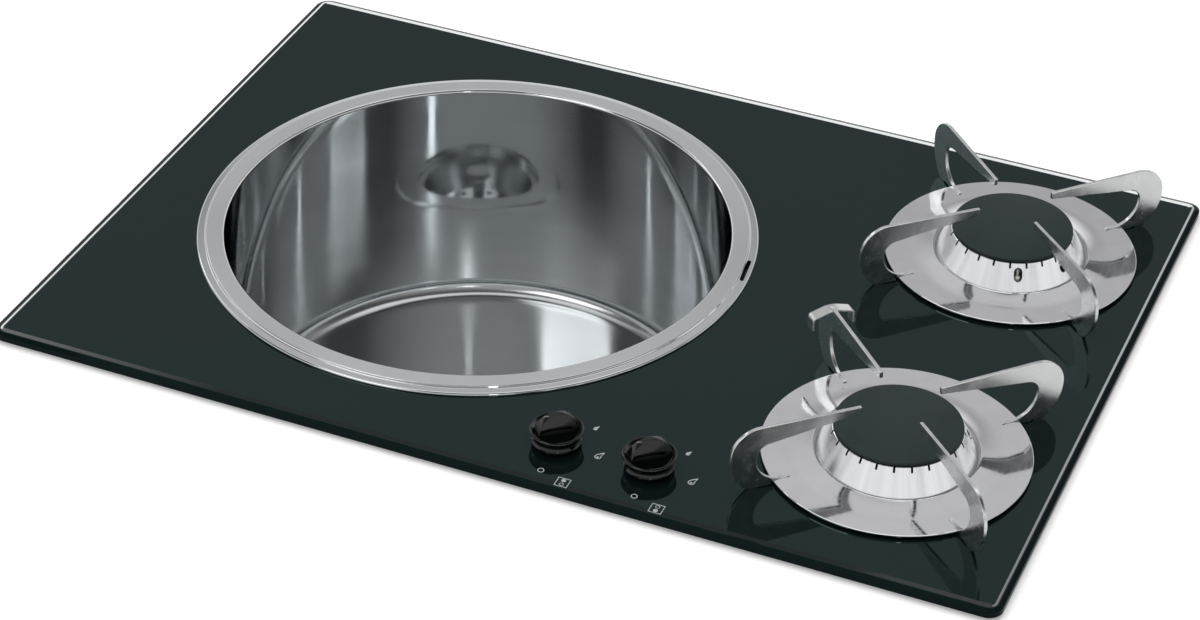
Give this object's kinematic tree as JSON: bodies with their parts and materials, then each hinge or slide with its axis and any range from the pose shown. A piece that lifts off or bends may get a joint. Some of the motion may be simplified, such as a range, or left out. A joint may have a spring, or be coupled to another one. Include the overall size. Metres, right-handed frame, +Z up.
{
  "type": "hob and sink combination",
  "caption": "Black glass plate with a round steel sink bowl and gas burners under lift-off pan supports, worked by press-and-turn knobs, with waste, taps and pipes below.",
  "frame": {"origin": "centre of the glass plate's footprint, on the worktop plane under the edge seal", "axes": "+X along the long side towards the burners, +Y to the back edge, +Z up out of the worktop"},
  "size_m": [0.715, 0.498, 0.3506],
  "materials": {
    "black_glass": "polished, opaque",
    "polished_steel": "polished",
    "mirror_steel": "mirror polished",
    "blade_steel": "satin polished",
    "skirt_steel": "polished",
    "black_enamel": "matt enamel",
    "knob_plastic": "gloss",
    "seal_rubber": "matt",
    "coated_sheet": "zinc coated",
    "bright_screws": "zinc plated",
    "cast_aluminium": "die cast",
    "brass": "turned",
    "turned_steel": "turned",
    "plated_can": "nickel plated",
    "ceramic_white": "unglazed",
    "pipe_aluminium": "drawn",
    "pipe_steel": "zinc plated",
    "waste_plastic": "moulded",
    "pipe_plastic": "moulded",
    "igniter_plastic": "moulded"
  },
  "bodies": {
    "plate": {"bowl_gasket": "seal_rubber", "burner_crown_back": "cast_aluminium", "burner_crown_front": "cast_aluminium", "burner_cup_back": "cast_aluminium", "burner_cup_front": "cast_aluminium", "burner_screws": "bright_screws", "burner_seals": "seal_rubber", "burner_skirt_back": "skirt_steel", "burner_skirt_front": "skirt_steel", "clamp_brackets": "coated_sheet", "clamp_screws": "bright_screws", "edge_seal": "seal_rubber", "feed_pipe_back": "pipe_aluminium", "feed_pipe_front": "pipe_aluminium", "gas_rail": "pipe_aluminium", "glass_top": "black_glass", "igniter_box": "igniter_plastic", "injector_back": "brass", "injector_front": "brass", "knob_seals": "seal_rubber", "magnet_unit_back": "plated_can", "magnet_unit_front": "plated_can", "overflow_elbow": "waste_plastic", "overflow_pipe": "pipe_plastic", "pipe_grommet": "seal_rubber", "rail_bracket": "coated_sheet", "sink_bowl": "polished_steel", "spark_electrode_back": "ceramic_white", "spark_electrode_front": "ceramic_white", "supply_pipe": "pipe_steel", "tap_body_back": "brass", "tap_body_front": "brass", "thermocouple_back": "turned_steel", "thermocouple_front": "turned_steel", "under_tray": "coated_sheet", "waste_body": "polished_steel", "waste_gasket": "seal_rubber", "waste_nut": "waste_plastic", "waste_tail": "waste_plastic"},
    "pan_stand_front": {"spill_disc_front": "mirror_steel", "blade_front_1": "blade_steel", "blade_front_2": "blade_steel", "blade_front_3": "blade_steel", "blade_front_4": "blade_steel"},
    "cap_front": {"burner_cap_front": "black_enamel"},
    "pan_stand_back": {"spill_disc_back": "mirror_steel", "blade_back_1": "blade_steel", "blade_back_2": "blade_steel", "blade_back_3": "blade_steel", "blade_back_4": "blade_steel"},
    "cap_back": {"burner_cap_back": "black_enamel"},
    "strainer": {"strainer_basket": "polished_steel"},
    "tap_front": {"tap_plug_front": "brass"},
    "knob_front": {"tap_spindle_front": "turned_steel", "knob_front": "knob_plastic"},
    "valve_front": {"valve_stem_front": "turned_steel"},
    "tap_back": {"tap_plug_back": "brass"},
    "knob_back": {"tap_spindle_back": "turned_steel", "knob_back": "knob_plastic"},
    "valve_back": {"valve_stem_back": "turned_steel"}
  },
  "joints": [
    {"name": "pan_stand_front_lift", "type": "slide", "parent": "plate", "child": "pan_stand_front", "axis": [0, 0, 1], "range_m": [0, 0.06]},
    {"name": "cap_front_lift", "type": "slide", "parent": "plate", "child": "cap_front", "axis": [0, 0, 1], "range_m": [0, 0.01]},
    {"name": "pan_stand_back_lift", "type": "slide", "parent": "plate", "child": "pan_stand_back", "axis": [0, 0, 1], "range_m": [0, 0.06]},
    {"name": "cap_back_lift", "type": "slide", "parent": "plate", "child": "cap_back", "axis": [0, 0, 1], "range_m": [0, 0.01]},
    {"name": "strainer_lift", "type": "slide", "parent": "plate", "child": "strainer", "axis": [0, 0, 1], "range_m": [0, 0.08]},
    {"name": "knob_front_turn", "type": "hinge", "parent": "plate", "child": "tap_front", "pos_m": [0.1077, -0.2034, 0.008], "axis": [0, 0, 1], "range_deg": [-130, 11]},
    {"name": "knob_front_push", "type": "slide", "parent": "tap_front", "child": "knob_front", "axis": [0, 0, -1], "range_m": [0, 0.003], "stiffness_N_per_m": 1500},
    {"name": "valve_front_push", "type": "slide", "parent": "plate", "child": "valve_front", "axis": [0, 0, -1], "range_m": [0, 0.003]},
    {"name": "knob_back_turn", "type": "hinge", "parent": "plate", "child": "tap_back", "pos_m": [0.0426, -0.2034, 0.008], "axis": [0, 0, 1], "range_deg": [-130, 11]},
    {"name": "knob_back_push", "type": "slide", "parent": "tap_back", "child": "knob_back", "axis": [0, 0, -1], "range_m": [0, 0.003], "stiffness_N_per_m": 1500},
    {"name": "valve_back_push", "type": "slide", "parent": "plate", "child": "valve_back", "axis": [0, 0, -1], "range_m": [0, 0.003]}
  ],
  "couplings": [
    {"joint": "valve_front_push", "follows": "knob_front_push", "ratio": 1},
    {"joint": "valve_back_push", "follows": "knob_back_push", "ratio": 1}
  ]
}
